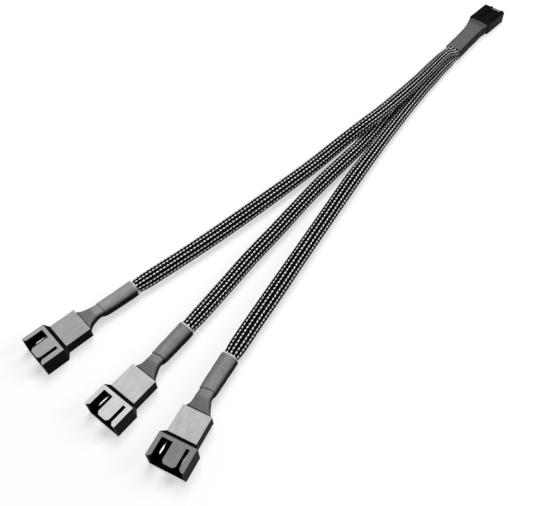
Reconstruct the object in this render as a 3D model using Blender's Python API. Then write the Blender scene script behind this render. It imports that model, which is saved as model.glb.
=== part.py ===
"""Fan splitter cable: one female four-way plug feeding three male four-way sockets.

Metres, +Z up. The cable lies on the plane z = 0, with the plug at +X and the
three sockets at -X. The origin is under the middle of the housings.

Wire 1 is ground, 2 is supply, 3 is speed sense and 4 is speed control. Only leg a
has wire 3, so that one fan alone reports its speed.
"""

import math

import bmesh
import bpy
from mathutils import Matrix, Vector

# Pins and the housings' common sizes
PIN_PITCH = 0.00254
PIN_COUNT = 4
PIN_SIDE = 0.00064
PIN_HEIGHT = 0.0038
CHANNEL_WIDTH = 0.0019
MOULD_CLEARANCE = 0.00008
SEAT_GAP = 0.0003
FLOOR_GAP = 0.00005

# Socket, measured back from its mouth
SHROUD_LENGTH = 0.0080
SHROUD_WIDTH = 0.0130
SHROUD_HEIGHT = 0.0069
SHROUD_WALL = 0.00098
FLARE_LENGTH = 0.00145
BODY_LENGTH = 0.0094
BODY_WIDTH = 0.0102
BODY_HEIGHT = 0.0044
CAVITY_DEPTH = 0.0069
CAVITY_WIDTH = 0.0106
MOUTH_CHAMFER = 0.0008
SLOT_DEPTH = 0.0068
WIDE_SLOT_EDGES = (-0.00495, -0.0011)
NARROW_SLOT_EDGES = (0.0035, 0.0047)
SLOT_FLARE = 0.0008
SOCKET_CHANNEL_HEIGHT = 0.0024
PARTITION = 0.0020
PIN_SETBACK = 0.0026
PIN_TAPER = 0.0006
BARREL_LENGTH = 0.0064
BARREL_WIDTH = 0.0014
BARREL_HEIGHT = 0.0016

# Plug, measured back from its mating face
PLUG_LENGTH = 0.0128
PLUG_WIDTH = 0.0102
PLUG_HEIGHT = 0.0050
PLUG_CHANNEL_HEIGHT = 0.0032
PLUG_FACE_WALL = 0.0012
PLUG_OPENING = 0.0012
RIB_WIDTH = 0.0009
RIB_HEIGHT = 0.0006
RIB_LENGTH = 0.0086
RIB_SPAN = 0.0055
RIB_SETBACK = 0.0003
LIP_LENGTH = 0.0006
LIP_HEIGHT = 0.0003
LIP_SETBACK = 0.0014
WINDOW_LENGTH = 0.0022
WINDOW_WIDTH = 0.0010
WINDOW_SETBACK = 0.0040
TERMINAL_WIDTH = 0.0015
TERMINAL_HEIGHT = 0.0017
TERMINAL_WALL = 0.0002
TERMINAL_BOX = 0.0050
CRIMP_LENGTH = 0.0026
CRIMP_WIDTH = 0.0012
CRIMP_HEIGHT = 0.0026
TERMINAL_SETBACK = 0.0020

# Wires, sleeves and heat-shrink
WIRE_DIAMETER = 0.00085
WIRE_SPACING = 0.00093
SLEEVE_WALL = 0.0002
NECK_RADIUS = 0.0014
SLEEVE_TIP_RADIUS = 0.0022
SHRINK_WALL = 0.00035
SHRINK_FIT = 0.0001
LEG_SHRINK_LENGTH = 0.0206
LEG_SHRINK_GRIP = 0.0127
WIRE_CONVERGENCE = 0.0004
PLUG_SHRINK_LENGTH = 0.0251
BUNDLE_SPREAD = 0.00175
BUNDLE_RISE = 0.00245
BUNDLE_GRIP = 0.0057
BUNDLE_CORNER = 0.0015
GATHER_LENGTH = 0.0070
FOLD_LENGTH = 0.0080
SPREAD_LENGTH = 0.0052

# Where the housings lie, and the way that each faces
PLUG_FACE = Vector((0.1278, -0.0006, 0.0))
PLUG_TURN = math.radians(-5.0)
BUNDLE_AXIS_Y = -0.0002

# Each route runs from the plug to its socket as (x, y, z, radius of the sleeve). Leg a leaves
# the plug's shrink on top of the other two and comes down beside leg b.
LEGS = {
    "a": {
        "mouth": Vector((-0.1266, 0.0297, 0.0)),
        "turn": math.radians(171.2),
        "wires": (1, 2, 3, 4),
        "side": 0,
        "level": 1,
        "lean": 0.0002,
        "swell": 0.0,
        "route": (
            (0.0838, 0.0002, 0.006, 0.00205),
            (0.0778, 0.0003, 0.0065, 0.0023),
            (0.0708, 0.00025, 0.00665, 0.00235),
            (0.0628, 0.00025, 0.00685, 0.00245),
            (0.0478, 0.0004, 0.00775, 0.0026),
            (0.0328, 0.0013, 0.0082, 0.00265),
            (0.0238, 0.0027, 0.00775, 0.0027),
            (0.0158, 0.005, 0.0056, 0.00275),
            (0.0078, 0.00715, 0.0035, 0.00285),
            (-0.0022, 0.0084, 0.003, 0.00293),
            (-0.0141, 0.00995, 0.00302, 0.00296),
            (-0.0283, 0.01205, 0.0031, 0.00304),
            (-0.0425, 0.0143, 0.00311, 0.00305),
            (-0.0557, 0.01665, 0.00306, 0.003),
            (-0.0693, 0.01945, 0.00298, 0.00292),
            (-0.0822, 0.0223, 0.00295, 0.00288),
            (-0.0870, 0.02335, 0.00305, 0.0025),
        ),
    },
    "b": {
        "mouth": Vector((-0.1282, -0.0036, 0.0)),
        "turn": math.radians(179.5),
        "wires": (1, 2, 4),
        "side": 1,
        "level": 0,
        "lean": 0.0005,
        "swell": 0.0001,
        "route": (
            (0.0838, 0.0023, 0.00215, 0.00205),
            (0.0778, 0.0028, 0.00235, 0.00225),
            (0.0708, 0.00276, 0.00242, 0.00235),
            (0.0628, 0.00273, 0.0025, 0.00245),
            (0.0478, 0.0022, 0.00265, 0.0026),
            (0.0328, 0.00095, 0.00272, 0.00265),
            (0.0238, 0.0002, 0.00277, 0.0027),
            (0.0158, -5e-05, 0.00282, 0.00275),
            (0.0078, 0.0001, 0.00292, 0.00285),
            (-0.0066, 0.00045, 0.003, 0.00294),
            (-0.0195, 0.0004, 0.00295, 0.00288),
            (-0.0372, -0.00025, 0.003, 0.00294),
            (-0.0541, -0.00065, 0.00302, 0.00296),
            (-0.0694, -0.0015, 0.00296, 0.0029),
            (-0.0830, -0.0021, 0.00288, 0.0028),
            (-0.0882, -0.00235, 0.0031, 0.00255),
        ),
    },
    "c": {
        "mouth": Vector((-0.1270, -0.0297, 0.0)),
        "turn": math.radians(191.7),
        "wires": (1, 2, 4),
        "side": -1,
        "level": -1,
        "lean": 0.0008,
        "swell": 0.0004,
        "route": (
            (0.0838, -0.00195, 0.00215, 0.00205),
            (0.0778, -0.00182, 0.00235, 0.00225),
            (0.0708, -0.00205, 0.00242, 0.00235),
            (0.0628, -0.00227, 0.0025, 0.00245),
            (0.0478, -0.00325, 0.00265, 0.0026),
            (0.0328, -0.0046, 0.00275, 0.0027),
            (0.0238, -0.0055, 0.00283, 0.00275),
            (0.0158, -0.0064, 0.00295, 0.00288),
            (0.0078, -0.0073, 0.00312, 0.00305),
            (-0.0004, -0.0083, 0.00327, 0.0032),
            (-0.0120, -0.0099, 0.00325, 0.00319),
            (-0.0284, -0.01225, 0.00322, 0.00316),
            (-0.0438, -0.01445, 0.00323, 0.00317),
            (-0.0582, -0.0166, 0.0033, 0.00324),
            (-0.0718, -0.0185, 0.00324, 0.00318),
            (-0.0830, -0.0202, 0.0032, 0.00312),
            (-0.0879, -0.021, 0.0032, 0.0027),
        ),
    },
}

# Facets
CORNER_POINTS = 4
STATION_SPAN = 0.011
TINY = 1e-6

SOCKET_LENGTH = SHROUD_LENGTH + FLARE_LENGTH + BODY_LENGTH
BARREL_REAR = CAVITY_DEPTH + PARTITION + SEAT_GAP + BARREL_LENGTH
SOCKET_MIDDLE = SHROUD_HEIGHT / 2
PLUG_MIDDLE = PLUG_HEIGHT / 2
TERMINAL_REAR = TERMINAL_SETBACK + TERMINAL_BOX + CRIMP_LENGTH
BUNDLE_LOW = FLOOR_GAP + SHRINK_WALL + SHRINK_FIT + NECK_RADIUS
BUNDLE_WIDTH = 2 * (BUNDLE_SPREAD + NECK_RADIUS + SHRINK_FIT + SHRINK_WALL)
BUNDLE_HEIGHT = BUNDLE_RISE + 2 * (NECK_RADIUS + SHRINK_FIT + SHRINK_WALL)
LEG_SHRINK_REAR = SOCKET_LENGTH + SEAT_GAP + LEG_SHRINK_LENGTH
SLEEVE_TIP = LEG_SHRINK_REAR - LEG_SHRINK_GRIP

# Sections of the heat-shrink: (distance behind the housing, width, height, corner radius), and the
# height of its middle on a leg
PLUG_SHRINK_SECTIONS = (
    (0.0, 0.0098, 0.0049, 0.0015),
    (0.0020, 0.0092, 0.0052, 0.0015),
    (0.0045, 0.0081, 0.0058, 0.0015),
    (0.0068, 0.0076, 0.0061, 0.0015),
    (0.0100, BUNDLE_WIDTH, BUNDLE_HEIGHT, BUNDLE_CORNER),
    (PLUG_SHRINK_LENGTH, BUNDLE_WIDTH, BUNDLE_HEIGHT, BUNDLE_CORNER),
)
LEG_SHRINK_SECTIONS = (
    (0.0, 0.0086, 0.0036, 0.0012, 0.00375),
    (0.0012, 0.0069, 0.0036, 0.0013, 0.0038),
    (0.0024, 0.0060, 0.0035, 0.0014, 0.00385),
    (0.0040, 0.0052, 0.0035, 0.0015, 0.0039),
    (0.0056, 0.0049, 0.0037, 0.0017, 0.00375),
    (0.0078, 0.0055, 0.0054, 0.0026, 0.00325),
    (0.0120, 0.0058, 0.0058, 0.0029, 0.0030),
    (LEG_SHRINK_LENGTH, 0.0060, 0.0060, 0.0030, 0.00305),
)


def clear_scene():
    for old in list(bpy.data.objects):
        bpy.data.objects.remove(old, do_unlink=True)


def principled(name, colour, roughness, metallic=0.0):
    made = bpy.data.materials.new(name)
    made.use_nodes = True
    shader = made.node_tree.nodes["Principled BSDF"]
    shader.inputs["Base Color"].default_value = (*colour, 1.0)
    shader.inputs["Roughness"].default_value = roughness
    shader.inputs["Metallic"].default_value = metallic
    return made


def add_object(name, data, material=None):
    made = bpy.data.objects.new(name, data)
    bpy.context.scene.collection.objects.link(made)
    if material:
        data.materials.append(material)
    return made


def loft(rings, name, closed=False):
    """A mesh skinned over rings of equally many points: capped at both ends, or closed on itself."""
    form = bmesh.new()
    corners = [[form.verts.new(point) for point in ring] for ring in rings]
    following = corners[1:] + corners[:1] if closed else corners[1:]
    for first, second in zip(corners, following):
        for index in range(len(first)):
            beside = (index + 1) % len(first)
            form.faces.new((first[index], first[beside], second[beside], second[index]))
    if not closed:
        form.faces.new(reversed(corners[0]))
        form.faces.new(corners[-1])
    bmesh.ops.recalc_face_normals(form, faces=form.faces)
    mesh = bpy.data.meshes.new(name)
    form.to_mesh(mesh)
    form.free()
    return mesh


def rectangle(back, middle, width, height, across=0.0):
    """Four corners in the plane x = -back."""
    return [
        Vector((-back, across + side * width / 2, middle + rise * height / 2))
        for side, rise in ((-1, -1), (1, -1), (1, 1), (-1, 1))
    ]


def boxes(name, corners):
    """One mesh of separate boxes, each given by its lowest and highest corner."""
    form = bmesh.new()
    for low, high in corners:
        low, high = Vector(low), Vector(high)
        place = Matrix.Translation((low + high) / 2) @ Matrix.Diagonal((*(high - low), 1.0))
        bmesh.ops.create_cube(form, size=1.0, matrix=place)
    mesh = bpy.data.meshes.new(name)
    form.to_mesh(mesh)
    form.free()
    return mesh


def prism(name, outline, low, high):
    """A flat outline of (x, y) corners raised from low to high."""
    return loft([[Vector((x, y, z)) for x, y in outline] for z in (low, high)], name)


def combine(body, mesh, operation):
    """Cuts or joins one helper mesh in the body's own frame."""
    helper = add_object(mesh.name, mesh)
    helper.parent = body
    helper.hide_render = True
    helper.display_type = "WIRE"
    modifier = body.modifiers.new(mesh.name, "BOOLEAN")
    modifier.operation = operation
    modifier.object = helper


def pin_offset(number):
    """A socket's pins run 1 to 4 from its left to its right, seen along its mouth's direction."""
    return ((PIN_COUNT + 1) / 2 - number) * PIN_PITCH


# Sockets


def channel_boxes(rear, front, width, height, middle):
    return [
        (
            (-rear, pin_offset(number) - width / 2, middle - height / 2),
            (-front, pin_offset(number) + width / 2, middle + height / 2),
        )
        for number in range(1, PIN_COUNT + 1)
    ]


def slot_outline(edges, outer_flare):
    """A slot that widens at the mouth: the key between the slots is rounded off there."""
    low, high = edges
    past = 2 * MOUTH_CHAMFER
    low_flare, high_flare = outer_flare
    return (
        (-SLOT_DEPTH, low),
        (-low_flare, low),
        (0.0, low - low_flare),
        (past, low - low_flare),
        (past, high + high_flare),
        (0.0, high + high_flare),
        (-high_flare, high),
        (-SLOT_DEPTH, high),
    )


def make_socket_housing(name, material):
    inner_height = SHROUD_HEIGHT - 2 * SHROUD_WALL
    body_end = SHROUD_LENGTH + FLARE_LENGTH
    middle = SOCKET_MIDDLE
    mouth = (CAVITY_WIDTH + MOUTH_CHAMFER, inner_height + MOUTH_CHAMFER)
    mesh = loft(
        [
            rectangle(SOCKET_LENGTH, middle, BODY_WIDTH, BODY_HEIGHT),
            rectangle(body_end, middle, BODY_WIDTH, BODY_HEIGHT),
            rectangle(SHROUD_LENGTH, middle, SHROUD_WIDTH, SHROUD_HEIGHT),
            rectangle(0.0, middle, SHROUD_WIDTH, SHROUD_HEIGHT),
            rectangle(0.0, middle, *mouth),
            rectangle(MOUTH_CHAMFER, middle, CAVITY_WIDTH, inner_height),
            rectangle(CAVITY_DEPTH, middle, CAVITY_WIDTH, inner_height),
        ],
        name,
    )
    housing = add_object(name, mesh, material)
    past = SEAT_GAP
    partition_back = CAVITY_DEPTH + PARTITION
    holes = PIN_SIDE + 2 * MOULD_CLEARANCE
    channels = channel_boxes(
        SOCKET_LENGTH + past, partition_back, CHANNEL_WIDTH, SOCKET_CHANNEL_HEIGHT, PIN_HEIGHT
    )
    combine(housing, boxes(name + "_channel_cutter", channels), "DIFFERENCE")
    pin_holes = channel_boxes(partition_back + past, CAVITY_DEPTH - past, holes, holes, PIN_HEIGHT)
    combine(housing, boxes(name + "_pin_cutter", pin_holes), "DIFFERENCE")
    under = SHROUD_HEIGHT - 2 * SHROUD_WALL
    over = SHROUD_HEIGHT + SHROUD_WALL
    wide = slot_outline(WIDE_SLOT_EDGES, (SLOT_FLARE, SLOT_FLARE))
    narrow = slot_outline(NARROW_SLOT_EDGES, (SLOT_FLARE, SLOT_FLARE))
    combine(housing, prism(name + "_wide_cutter", wide, under, over), "DIFFERENCE")
    combine(housing, prism(name + "_narrow_cutter", narrow, under, over), "DIFFERENCE")
    return housing


def make_socket_pin(name, number, material):
    """A square pin with a tapered tip and the crimp barrel behind it."""
    across = pin_offset(number)
    barrel_front = CAVITY_DEPTH + PARTITION + SEAT_GAP
    rings = [
        rectangle(PIN_SETBACK, PIN_HEIGHT, PIN_SIDE / 2, PIN_SIDE / 2, across),
        rectangle(PIN_SETBACK + PIN_TAPER, PIN_HEIGHT, PIN_SIDE, PIN_SIDE, across),
        rectangle(barrel_front, PIN_HEIGHT, PIN_SIDE, PIN_SIDE, across),
        rectangle(barrel_front + TINY, PIN_HEIGHT, BARREL_WIDTH, BARREL_HEIGHT, across),
        rectangle(BARREL_REAR, PIN_HEIGHT, BARREL_WIDTH, BARREL_HEIGHT, across),
    ]
    return add_object(name, loft(rings, name), material)


# Plug


def make_plug_housing(name, material):
    mesh = loft(
        [
            rectangle(PLUG_LENGTH, PLUG_MIDDLE, PLUG_WIDTH, PLUG_HEIGHT),
            rectangle(0.0, PLUG_MIDDLE, PLUG_WIDTH, PLUG_HEIGHT),
        ],
        name,
    )
    housing = add_object(name, mesh, material)
    past = SEAT_GAP
    # The ribs straddle wires 1 to 3, like the slots of a socket seen from its other side.
    rib_centre = -PIN_PITCH / 2
    ribs = [
        (
            (-RIB_SETBACK - RIB_LENGTH, rib_centre + side * RIB_SPAN / 2 - RIB_WIDTH / 2, PLUG_MIDDLE),
            (-RIB_SETBACK, rib_centre + side * RIB_SPAN / 2 + RIB_WIDTH / 2, PLUG_HEIGHT + RIB_HEIGHT),
        )
        for side in (-1, 1)
    ]
    combine(housing, boxes(name + "_ribs", ribs), "UNION")
    lip = (
        (-LIP_SETBACK - LIP_LENGTH, rib_centre - RIB_SPAN / 2, PLUG_MIDDLE),
        (-LIP_SETBACK, rib_centre + RIB_SPAN / 2, PLUG_HEIGHT + LIP_HEIGHT),
    )
    combine(housing, boxes(name + "_lip", [lip]), "UNION")
    channels = channel_boxes(
        PLUG_LENGTH + past, PLUG_FACE_WALL, CHANNEL_WIDTH, PLUG_CHANNEL_HEIGHT, PLUG_MIDDLE
    )
    combine(housing, boxes(name + "_channel_cutter", channels), "DIFFERENCE")
    openings = channel_boxes(PLUG_FACE_WALL + past, -past, PLUG_OPENING, PLUG_OPENING, PLUG_MIDDLE)
    combine(housing, boxes(name + "_opening_cutter", openings), "DIFFERENCE")
    window_top = PLUG_MIDDLE - PLUG_CHANNEL_HEIGHT / 2 + past
    windows = channel_boxes(
        WINDOW_SETBACK + WINDOW_LENGTH, WINDOW_SETBACK, WINDOW_WIDTH, 2 * window_top, 0.0
    )
    combine(housing, boxes(name + "_window_cutter", windows), "DIFFERENCE")
    return housing


def make_plug_terminal(name, number, material):
    """A box that takes the pin, with the crimp behind it. Pin 1 is on the plug's right."""
    across = -pin_offset(number)
    box_end = TERMINAL_SETBACK + TERMINAL_BOX
    pocket = (TERMINAL_WIDTH - 2 * TERMINAL_WALL, TERMINAL_HEIGHT - 2 * TERMINAL_WALL)
    rings = [
        rectangle(TERMINAL_REAR, PLUG_MIDDLE, CRIMP_WIDTH, CRIMP_HEIGHT, across),
        rectangle(box_end + TERMINAL_WALL, PLUG_MIDDLE, CRIMP_WIDTH, CRIMP_HEIGHT, across),
        rectangle(box_end, PLUG_MIDDLE, TERMINAL_WIDTH, TERMINAL_HEIGHT, across),
        rectangle(TERMINAL_SETBACK, PLUG_MIDDLE, TERMINAL_WIDTH, TERMINAL_HEIGHT, across),
        rectangle(TERMINAL_SETBACK, PLUG_MIDDLE, *pocket, across),
        rectangle(box_end - TERMINAL_WALL, PLUG_MIDDLE, *pocket, across),
    ]
    return add_object(name, loft(rings, name), material)


# Routes


def ease(share):
    """0 to 1 with level ends."""
    return share * share * (3 - 2 * share)


def blend(first, second, share):
    return first + (second - first) * share


def steps(count):
    """Even shares after 0, up to 1."""
    return [number / count for number in range(1, count + 1)]


def smooth_read(rows, place):
    """Reads a smooth curve through rows that start with x, at one x. The slope in each row is
    the one between its two neighbours."""
    last = len(rows) - 2
    index = max([number for number in range(last + 1) if rows[number][0] <= place] or [0])
    before = rows[max(index - 1, 0)]
    start = rows[index]
    end = rows[index + 1]
    after = rows[min(index + 2, last + 1)]
    span = end[0] - start[0]
    share = (place - start[0]) / span
    read = []
    for column in range(1, len(start)):
        start_slope = (end[column] - before[column]) / (end[0] - before[0]) * span
        end_slope = (after[column] - start[column]) / (after[0] - start[0]) * span
        read.append(
            (2 * share**3 - 3 * share**2 + 1) * start[column]
            + (share**3 - 2 * share**2 + share) * start_slope
            + (3 * share**2 - 2 * share**3) * end[column]
            + (share**3 - share**2) * end_slope
        )
    return read


def plug_point(back, across=0.0, height=0.0):
    """A point given from the middle of the plug's mating face."""
    return PLUG_FACE + Matrix.Rotation(PLUG_TURN, 3, "Z") @ Vector((-back, across, height))


def socket_point(leg, back, across=0.0, height=0.0):
    """A point given from the middle of a socket's mouth."""
    return leg["mouth"] + Matrix.Rotation(leg["turn"], 3, "Z") @ Vector((-back, across, height))


def bundle_centre(leg):
    """Where a leg runs in the plug's shrink: two side by side under the third."""
    if leg["side"]:
        return BUNDLE_AXIS_Y + leg["side"] * BUNDLE_SPREAD, BUNDLE_LOW
    return BUNDLE_AXIS_Y, BUNDLE_LOW + BUNDLE_RISE


def leg_rows(leg):
    """The centreline of a leg by x, from where its wires are bundled to the socket's barrels."""
    across, height = bundle_centre(leg)
    gathered = plug_point(PLUG_LENGTH).x - GATHER_LENGTH
    shrink_end = plug_point(PLUG_LENGTH + SEAT_GAP + PLUG_SHRINK_LENGTH).x
    rows = [
        (gathered, across, height, NECK_RADIUS),
        (gathered - FOLD_LENGTH, across, height, NECK_RADIUS),
        (shrink_end, across, height, NECK_RADIUS),
    ]
    rows.extend(leg["route"])
    last = leg["route"][-1]
    rear = socket_point(leg, SOCKET_LENGTH)
    for back, *_, middle in LEG_SHRINK_SECTIONS[-2:2:-1]:
        place = socket_point(leg, SOCKET_LENGTH + SEAT_GAP + back).x
        share = (place - rear.x) / (last[0] - rear.x)
        y = blend(rear.y, last[1], share) + leg["lean"] * min(2 - 2 * share, 1.0)
        radius = SLEEVE_TIP_RADIUS + leg["swell"] / 2
        rows.append((place, y, middle + leg["swell"] / 2, radius))
    for back in (SOCKET_LENGTH, BARREL_REAR):
        point = socket_point(leg, back)
        rows.append((point.x, point.y, PIN_HEIGHT, SLEEVE_TIP_RADIUS))
    return sorted(rows)


def leg_frame(rows, place):
    """The point of a centreline at one x, its level normal toward +Y, and the normal above."""
    y, z, _ = smooth_read(rows, place)
    step = 0.0002
    ahead = smooth_read(rows, place - step)
    behind = smooth_read(rows, place + step)
    along = Vector((-2 * step, ahead[0] - behind[0], ahead[1] - behind[1])).normalized()
    sideways = along.cross(Vector((0, 0, 1))).normalized()
    return Vector((place, y, z)), sideways, sideways.cross(along)


def sleeve_stations(leg):
    """The places along x where a sleeve has a ring: close together where it narrows."""
    route = leg["route"]
    shrink_end = plug_point(PLUG_LENGTH + SEAT_GAP + PLUG_SHRINK_LENGTH).x
    first, second = route[0][0], route[-2][0]
    count = math.ceil((first - second) / STATION_SPAN)
    even = [blend(first, second, share) for share in steps(count)]
    narrow = socket_point(leg, SOCKET_LENGTH + SEAT_GAP + LEG_SHRINK_SECTIONS[-2][0]).x
    tip = socket_point(leg, SLEEVE_TIP).x
    return [shrink_end + BUNDLE_GRIP, shrink_end, first, *even, route[-1][0], narrow, tip]


# Wires, sleeves and heat-shrink


def fold(count, share):
    """Offsets (aside, up) of the wires of a leg, from -Y: a level row at 0, a close stack at 1."""
    half = WIRE_SPACING / 2
    if count == 4:
        angle = share * math.pi / 2
        outer = half + WIRE_SPACING * math.cos(angle)
        low = -half * math.sin(angle)
        high = low + WIRE_SPACING * math.sin(angle)
        return ((-outer, high), (-half, low), (half, low), (outer, high))
    angle = share * math.pi / 3
    outer = WIRE_SPACING * math.cos(angle)
    rise = WIRE_SPACING * math.sin(angle)
    return ((-outer, -rise / 3), (0.0, 2 * rise / 3), (outer, -rise / 3))


def wire_points(leg, rows, number):
    """A wire from its crimp in the plug to its barrel in the socket."""
    order = leg["wires"].index(number)
    count = len(leg["wires"])
    across, height = bundle_centre(leg)
    level = PLUG_MIDDLE + leg["level"] * WIRE_SPACING
    rear = plug_point(PLUG_LENGTH, -pin_offset(number), level)
    gathered = plug_point(PLUG_LENGTH).x - GATHER_LENGTH
    points = [plug_point(TERMINAL_REAR + SEAT_GAP, -pin_offset(number), level), rear]
    for share in steps(5):
        y = blend(rear.y, across + fold(count, 0.0)[order][0], ease(share))
        points.append(Vector((blend(rear.x, gathered, share), y, level)))
    for share in steps(3):
        aside, rise = fold(count, share)[order]
        z = blend(level, height, ease(share)) + rise
        points.append(Vector((gathered - FOLD_LENGTH * share, across + aside, z)))
    aside, rise = fold(count, 1.0)[order]
    for place in sleeve_stations(leg):
        centre, sideways, up = leg_frame(rows, place)
        points.append(centre + sideways * aside + up * rise)
    unfolded = SOCKET_LENGTH + SPREAD_LENGTH
    for share in steps(3):
        aside, rise = fold(count, 1.0 - share)[order]
        place = socket_point(leg, blend(SLEEVE_TIP, unfolded, share)).x
        centre, sideways, up = leg_frame(rows, place)
        points.append(centre + sideways * aside + up * rise)
    exit_aside = pin_offset(number) * (1 - WIRE_CONVERGENCE / pin_offset(1))
    for share in steps(4)[:-1]:
        spread = blend(aside, -exit_aside, share * share)
        place = socket_point(leg, blend(unfolded, SOCKET_LENGTH, share)).x
        centre, sideways, _ = leg_frame(rows, place)
        points.append(centre + sideways * spread)
    points.append(socket_point(leg, SOCKET_LENGTH + SEAT_GAP, exit_aside, PIN_HEIGHT))
    points.append(socket_point(leg, BARREL_REAR + SEAT_GAP, pin_offset(number), PIN_HEIGHT))
    return points


def make_tube(name, points, radii, sides_step, material, capped=True):
    curve = bpy.data.curves.new(name, "CURVE")
    curve.dimensions = "3D"
    curve.bevel_depth = 1.0
    curve.bevel_resolution = sides_step
    curve.use_fill_caps = capped
    spline = curve.splines.new("POLY")
    spline.points.add(len(points) - 1)
    for point, place, radius in zip(spline.points, points, radii):
        point.co = (*place, 1.0)
        point.radius = radius
    return add_object(name, curve, material)


def make_sleeve(name, leg, rows, material):
    places = sleeve_stations(leg)
    points = [leg_frame(rows, place)[0] for place in places]
    radii = [smooth_read(rows, place)[2] for place in places]
    sleeve = make_tube(name, points, radii, 3, material, capped=False)
    wall = sleeve.modifiers.new("wall", "SOLIDIFY")
    wall.thickness = SLEEVE_WALL
    wall.offset = -1.0
    return sleeve


def section(centre, sideways, width, height, corner):
    """A rounded rectangle standing upright across the cable."""
    points = []
    for turn, (side, rise) in enumerate(((1, 1), (-1, 1), (-1, -1), (1, -1))):
        for number in range(CORNER_POINTS):
            angle = math.pi / 2 * (turn + number / (CORNER_POINTS - 1))
            aside = side * (width / 2 - corner - TINY) + corner * math.cos(angle)
            up = rise * (height / 2 - corner - TINY) + corner * math.sin(angle)
            points.append(centre + sideways * aside + Vector((0, 0, up)))
    return points


def make_shell(name, sections, material):
    """A heat-shrink: outer rings one way and inner rings back."""
    outer = [section(*given) for given in sections]
    trim = 2 * SHRINK_WALL
    inner = [
        section(centre, sideways, width - trim, height - trim, corner - SHRINK_WALL)
        for centre, sideways, width, height, corner in sections
    ]
    return add_object(name, loft(outer + inner[::-1], name, closed=True), material)


def make_plug_shrink(name, material):
    sections = []
    rear = plug_point(PLUG_LENGTH + SEAT_GAP)
    for back, width, height, corner in PLUG_SHRINK_SECTIONS:
        behind = plug_point(PLUG_LENGTH + SEAT_GAP + back)
        share = ease(min(back / PLUG_SHRINK_SECTIONS[4][0], 1.0))
        y = blend(rear.y, BUNDLE_AXIS_Y, share)
        turn = PLUG_TURN * (1.0 - share)
        centre = Vector((behind.x, y, FLOOR_GAP + height / 2))
        sideways = Vector((-math.sin(turn), math.cos(turn), 0.0))
        sections.append((centre, sideways, width, height, corner))
    return make_shell(name, sections, material)


def make_leg_shrink(name, leg, rows, material):
    sections = []
    swell = leg["swell"]
    squared = LEG_SHRINK_SECTIONS[3][0]
    across = Matrix.Rotation(leg["turn"], 3, "Z") @ Vector((0, -1, 0))
    for back, width, height, corner, middle in LEG_SHRINK_SECTIONS:
        place = socket_point(leg, SOCKET_LENGTH + SEAT_GAP + back).x
        centre, sideways, _ = leg_frame(rows, place)
        sideways = across.lerp(sideways, ease(min(back / squared, 1.0))).normalized()
        middle += swell / 2
        corner += swell / 2
        point = Vector((place, centre.y, middle))
        sections.append((point, sideways, width + swell, height + swell, corner))
    return make_shell(name, sections, material)


def place_at(part, point, turn):
    part.matrix_world = Matrix.Translation(point) @ Matrix.Rotation(turn, 4, "Z")


def main():
    clear_scene()
    plastic = principled("housing_plastic", (0.02, 0.02, 0.022), 0.42)
    shrink = principled("shrink_tube", (0.03, 0.03, 0.032), 0.55)
    braid = principled("braid_sleeve", (0.015, 0.015, 0.016), 0.6)
    insulation = principled("wire_insulation", (0.02, 0.02, 0.02), 0.5)
    metal = principled("tinned_metal", (0.8, 0.78, 0.74), 0.25, 1.0)

    plug = [make_plug_housing("plug_housing", plastic)]
    for number in range(1, PIN_COUNT + 1):
        plug.append(make_plug_terminal(f"plug_terminal_{number}", number, metal))
    for part in plug:
        place_at(part, PLUG_FACE, PLUG_TURN)
    make_plug_shrink("plug_shrink", shrink)

    for letter, leg in LEGS.items():
        rows = leg_rows(leg)
        socket = [make_socket_housing(f"socket_housing_{letter}", plastic)]
        for number in leg["wires"]:
            socket.append(make_socket_pin(f"socket_pin_{letter}{number}", number, metal))
            points = wire_points(leg, rows, number)
            radii = [WIRE_DIAMETER / 2] * len(points)
            make_tube(f"wire_{letter}{number}", points, radii, 2, insulation)
        for part in socket:
            place_at(part, leg["mouth"], leg["turn"])
        make_sleeve(f"sleeve_{letter}", leg, rows, braid)
        make_leg_shrink(f"leg_shrink_{letter}", leg, rows, shrink)


main()
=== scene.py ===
import math

import bmesh
import bpy
import numpy as np
from mathutils import Matrix, Vector


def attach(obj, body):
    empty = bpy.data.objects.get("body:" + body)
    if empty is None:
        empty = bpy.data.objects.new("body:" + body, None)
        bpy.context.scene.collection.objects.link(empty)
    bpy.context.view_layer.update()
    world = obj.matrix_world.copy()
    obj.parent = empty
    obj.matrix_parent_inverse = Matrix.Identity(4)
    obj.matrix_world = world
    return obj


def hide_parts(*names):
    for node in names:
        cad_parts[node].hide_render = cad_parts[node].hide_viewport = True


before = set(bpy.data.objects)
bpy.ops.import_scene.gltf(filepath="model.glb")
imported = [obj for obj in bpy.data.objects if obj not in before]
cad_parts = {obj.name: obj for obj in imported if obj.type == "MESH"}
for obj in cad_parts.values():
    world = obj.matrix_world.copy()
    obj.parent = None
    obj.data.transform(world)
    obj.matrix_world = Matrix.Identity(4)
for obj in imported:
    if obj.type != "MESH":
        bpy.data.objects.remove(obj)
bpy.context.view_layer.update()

# Fan splitter cable, dressed: three braided sleeves, heat-shrink, a plug and three sockets.
# Metres, +Z up, the plug at +X. Routes and sections repeat those of the CAD.


# Camera: angles in degrees, lens and sensor in millimetres

viewpoint = {
    "place": (-0.159678, -0.104457, 0.202115),
    "heading": 42.0,
    "down": 52.933,
    "roll": -4.048,
    "lens": 47.15,
    "sensor": 36.0,
    "nearest": 0.005,
}


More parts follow.
